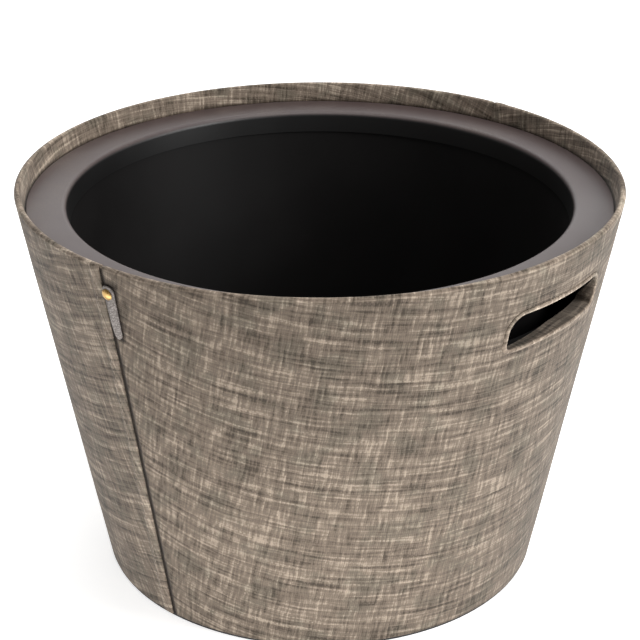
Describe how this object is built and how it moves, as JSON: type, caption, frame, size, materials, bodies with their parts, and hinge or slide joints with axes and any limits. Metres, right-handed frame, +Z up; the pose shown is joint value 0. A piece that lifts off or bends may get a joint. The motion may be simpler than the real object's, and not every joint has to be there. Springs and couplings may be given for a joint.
{
  "type": "log basket",
  "caption": "Tapered round log basket of woven heathered cloth over a stiff core, with slot handles, a small leather tab by its lap seam and a lift-out dark metal insert.",
  "frame": {"origin": "centre of the base, on the floor that the basket stands on", "axes": "+Z up through the open top; -Y towards the front lap seam and its tab; +X and -X through the two handle slots"},
  "size_m": [0.499, 0.5006, 0.336],
  "materials": {
    "woven_cloth": "heathered plain weave",
    "core_board": "raw fibreboard",
    "grip_plastic": "matt black",
    "base_sheet": "matt black",
    "grey_leather": "smooth grey",
    "brass": "polished",
    "steel": "plain",
    "dark_metal": "matt powder coat"
  },
  "bodies": {
    "basket": {"shell_core_right": "core_board", "shell_core_left": "core_board", "core_strap_front": "core_board", "core_strap_back": "core_board", "core_rivets_front": "steel", "core_rivets_back": "steel", "woven_panel_right": "woven_cloth", "woven_panel_left": "woven_cloth", "leather_tab": "grey_leather", "tab_rivet": "brass", "tab_rivet_burr": "brass", "base_board": "core_board", "board_pins": "steel", "base_cover": "base_sheet", "base_screws": "steel", "slot_lining_right": "woven_cloth", "slot_lining_left": "woven_cloth", "handle_frame_right": "grip_plastic", "handle_frame_left": "grip_plastic"},
    "insert": {"insert_flange": "dark_metal", "insert_wall": "dark_metal", "insert_floor": "dark_metal"}
  },
  "joints": [
    {"name": "insert_lift", "type": "slide", "parent": "basket", "child": "insert", "axis": [0, 0, 1], "range_m": [0, 0.36]}
  ]
}
